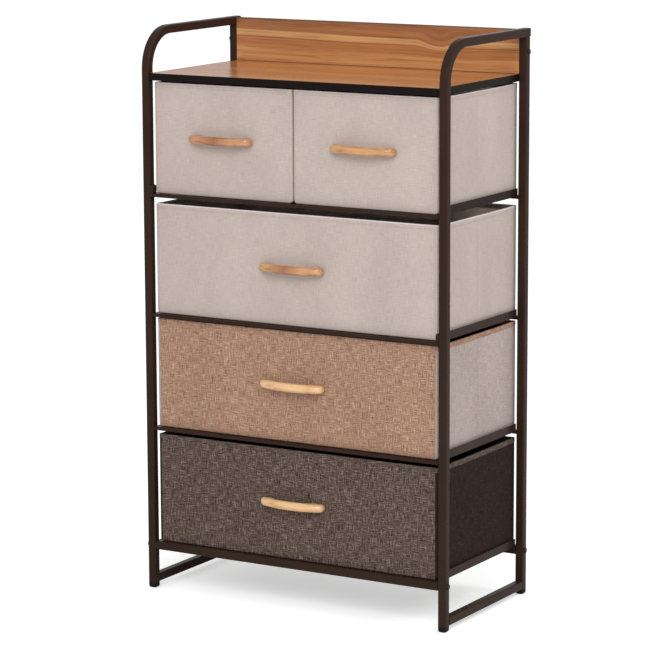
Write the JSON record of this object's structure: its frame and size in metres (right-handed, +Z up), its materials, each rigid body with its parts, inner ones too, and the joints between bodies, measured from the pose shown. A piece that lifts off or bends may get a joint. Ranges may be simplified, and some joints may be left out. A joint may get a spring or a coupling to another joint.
{
  "type": "fabric drawer dresser",
  "caption": "Tall, narrow storage dresser: a dark steel tube frame with a wood-look shelf and upstand on top, over rows of sliding fabric drawers with wooden bow handles.",
  "frame": {"origin": "on the floor, under the middle of the box that holds the frame and the handles", "axes": "+Z up, +X to the right seen from the front, +Y from the front to the back; the drawers open towards -Y"},
  "size_m": [0.6052, 0.317, 0.995],
  "materials": {
    "frame_steel": "semi-gloss dark brown powder coat",
    "board_wood": "satin orange-brown woodgrain laminate, grain along the width",
    "black_plastic": "matte black",
    "dark_fasteners": "satin dark brown",
    "light_linen": "matte heathered woven linen, light beige",
    "tan_linen": "matte heathered woven linen, tan",
    "dark_linen": "matte heathered woven linen, dark brown-grey",
    "stiffener_board": "matte fibreboard",
    "handle_wood": "satin clear-lacquered honey wood",
    "bright_screws": "zinc plated"
  },
  "bodies": {
    "frame": {"left_front_post": "frame_steel", "left_back_post": "frame_steel", "left_floor_rail": "frame_steel", "right_front_post": "frame_steel", "right_back_post": "frame_steel", "right_floor_rail": "frame_steel", "top_row_front_bar": "frame_steel", "top_row_back_bar": "frame_steel", "top_row_left_runner": "frame_steel", "top_row_right_runner": "frame_steel", "second_row_front_bar": "frame_steel", "second_row_back_bar": "frame_steel", "second_row_left_runner": "frame_steel", "second_row_right_runner": "frame_steel", "third_row_front_bar": "frame_steel", "third_row_back_bar": "frame_steel", "third_row_left_runner": "frame_steel", "third_row_right_runner": "frame_steel", "bottom_row_front_bar": "frame_steel", "bottom_row_back_bar": "frame_steel", "bottom_row_left_runner": "frame_steel", "bottom_row_right_runner": "frame_steel", "top_row_middle_runner": "frame_steel", "corner_brackets": "frame_steel", "shelf_front_rail": "frame_steel", "shelf_back_rail": "frame_steel", "shelf_left_rail": "frame_steel", "shelf_right_rail": "frame_steel", "shelf_board": "board_wood", "back_board": "board_wood", "foot_caps": "black_plastic", "arm_end_caps": "black_plastic", "threaded_inserts": "black_plastic", "frame_bolts": "dark_fasteners", "backboard_screws": "dark_fasteners"},
    "top_left_drawer": {"top_left_drawer_fabric_bin": "light_linen", "top_left_drawer_front_board": "stiffener_board", "top_left_drawer_base_board": "stiffener_board", "top_left_drawer_handle": "handle_wood", "top_left_drawer_handle_screws": "bright_screws"},
    "top_right_drawer": {"top_right_drawer_fabric_bin": "light_linen", "top_right_drawer_front_board": "stiffener_board", "top_right_drawer_base_board": "stiffener_board", "top_right_drawer_handle": "handle_wood", "top_right_drawer_handle_screws": "bright_screws"},
    "second_drawer": {"second_drawer_fabric_bin": "light_linen", "second_drawer_front_board": "stiffener_board", "second_drawer_base_board": "stiffener_board", "second_drawer_handle": "handle_wood", "second_drawer_handle_screws": "bright_screws"},
    "third_drawer": {"third_drawer_fabric_bin": "tan_linen", "third_drawer_front_board": "stiffener_board", "third_drawer_base_board": "stiffener_board", "third_drawer_handle": "handle_wood", "third_drawer_handle_screws": "bright_screws"},
    "bottom_drawer": {"bottom_drawer_fabric_bin": "dark_linen", "bottom_drawer_front_board": "stiffener_board", "bottom_drawer_base_board": "stiffener_board", "bottom_drawer_handle": "handle_wood", "bottom_drawer_handle_screws": "bright_screws"}
  },
  "joints": [
    {"name": "top_left_drawer_slide", "type": "slide", "parent": "frame", "child": "top_left_drawer", "axis": [0, -1, 0], "range_m": [0, 0.2]},
    {"name": "top_right_drawer_slide", "type": "slide", "parent": "frame", "child": "top_right_drawer", "axis": [0, -1, 0], "range_m": [0, 0.2]},
    {"name": "second_drawer_slide", "type": "slide", "parent": "frame", "child": "second_drawer", "axis": [0, -1, 0], "range_m": [0, 0.2]},
    {"name": "third_drawer_slide", "type": "slide", "parent": "frame", "child": "third_drawer", "axis": [0, -1, 0], "range_m": [0, 0.2]},
    {"name": "bottom_drawer_slide", "type": "slide", "parent": "frame", "child": "bottom_drawer", "axis": [0, -1, 0], "range_m": [0, 0.2]}
  ]
}
